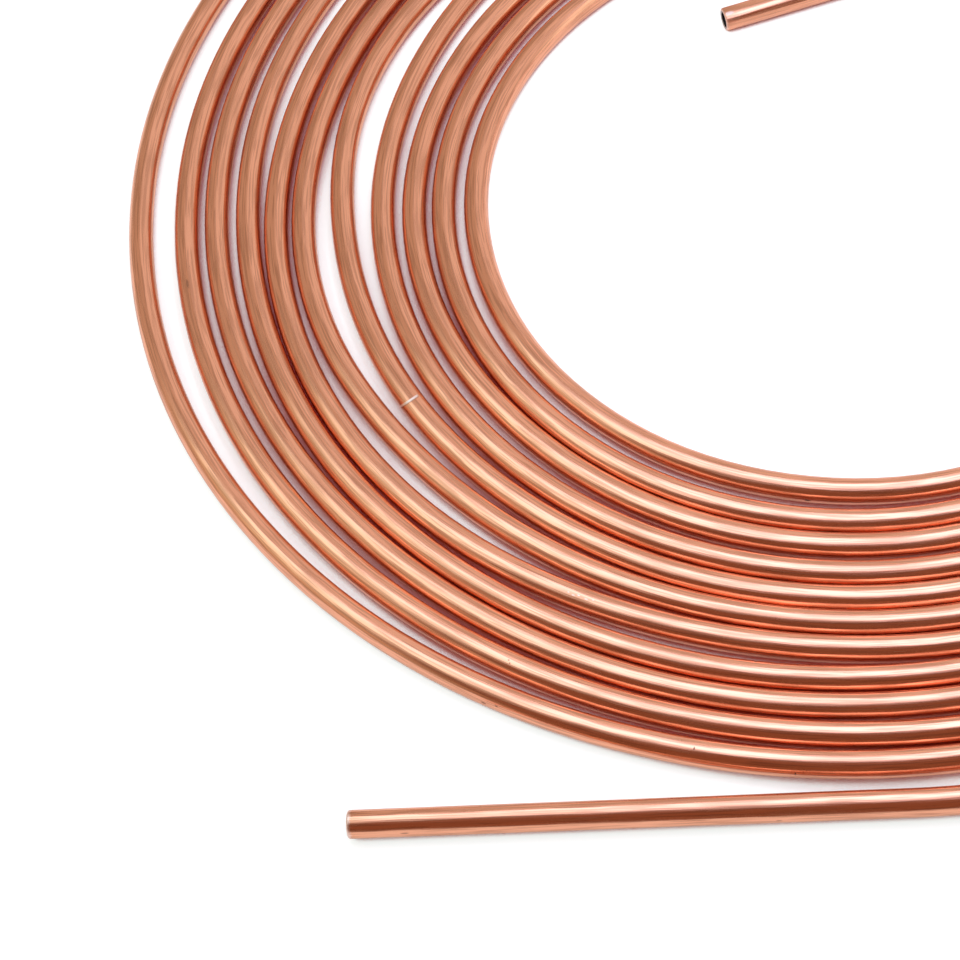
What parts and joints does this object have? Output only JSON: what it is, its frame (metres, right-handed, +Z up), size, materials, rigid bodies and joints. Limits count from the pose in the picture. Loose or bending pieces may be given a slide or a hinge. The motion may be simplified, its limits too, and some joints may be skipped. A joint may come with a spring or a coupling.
{
  "type": "brake line coil",
  "caption": "Loose flat coil of slim copper-coated steel brake tube in a single layer, with a straight cut tail at each end, to be cut, bent and flared into brake lines.",
  "frame": {"origin": "on the floor, in the middle of the coil's outline, tails included", "axes": "+Z up along the winding axis, +X to the right and +Y to the back of the flat coil as it lies"},
  "size_m": [0.2804, 0.2854, 0.0048],
  "materials": {
    "copper_coated_steel": "satin copper coating on steel tube, with faint lengthwise draw lines"
  },
  "bodies": {
    "root": {"brake_line": "copper_coated_steel"}
  },
  "joints": []
}
